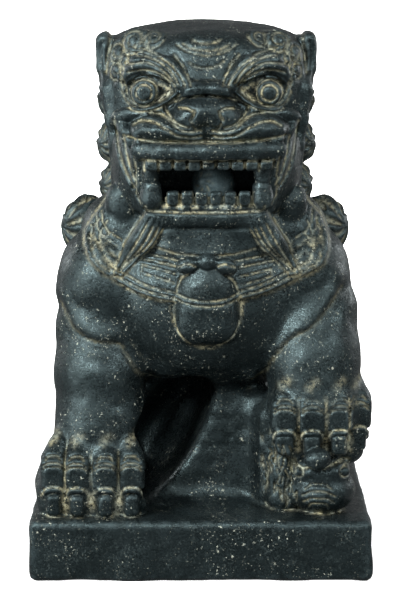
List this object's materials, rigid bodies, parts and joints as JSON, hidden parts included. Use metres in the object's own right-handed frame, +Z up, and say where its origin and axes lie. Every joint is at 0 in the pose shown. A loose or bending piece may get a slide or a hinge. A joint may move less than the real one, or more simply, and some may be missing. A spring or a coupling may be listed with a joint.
{
  "type": "foo dog statue",
  "caption": "Seated guardian lion in dark carved-look cast stone on a rectangular plinth, one forepaw raised on a cub, with a loose pearl in its open mouth.",
  "frame": {"origin": "middle of the plinth's underside", "axes": "+Z up; the lion faces -Y; its own right side is -X and its own left side, with the cub, is +X"},
  "size_m": [0.314, 0.32, 0.5],
  "materials": {
    "stone": "satin",
    "plinth": "satin",
    "pearl": "satin"
  },
  "bodies": {
    "statue": {"back_curls": "stone", "bell": "stone", "bell_knot": "stone", "belly_web": "stone", "collar": "stone", "cub_body": "stone", "cub_eyes": "stone", "cub_head": "stone", "cub_mane": "stone", "cub_nose": "stone", "left_beard_lobe": "stone", "left_brow": "stone", "left_cheek": "stone", "left_curl_column": "stone", "left_ear": "stone", "left_eye": "stone", "left_fore_claws": "stone", "left_fore_toes": "stone", "left_foreleg": "stone", "left_haunch": "stone", "left_hind_paw": "stone", "left_hind_toes": "stone", "left_shoulder_curl": "stone", "left_tassel": "stone", "lower_fangs": "stone", "lower_gum": "stone", "lower_jaw": "stone", "lower_teeth": "stone", "muzzle": "stone", "neck": "stone", "nose": "stone", "nose_bridge": "stone", "plinth": "plinth", "right_beard_lobe": "stone", "right_brow": "stone", "right_cheek": "stone", "right_curl_column": "stone", "right_ear": "stone", "right_eye": "stone", "right_fore_claws": "stone", "right_fore_toes": "stone", "right_foreleg": "stone", "right_haunch": "stone", "right_hind_paw": "stone", "right_hind_toes": "stone", "right_shoulder_curl": "stone", "right_tassel": "stone", "skull": "stone", "tail": "stone", "tail_curls": "stone", "torso": "stone", "upper_fangs": "stone", "upper_lip": "stone", "upper_teeth": "stone"},
    "pearl": {"mouth_pearl": "pearl"}
  },
  "joints": [
    {"name": "pearl_roll", "type": "slide", "parent": "statue", "child": "pearl", "axis": [1, 0, 0], "range_m": [-0.037, 0.025]}
  ]
}
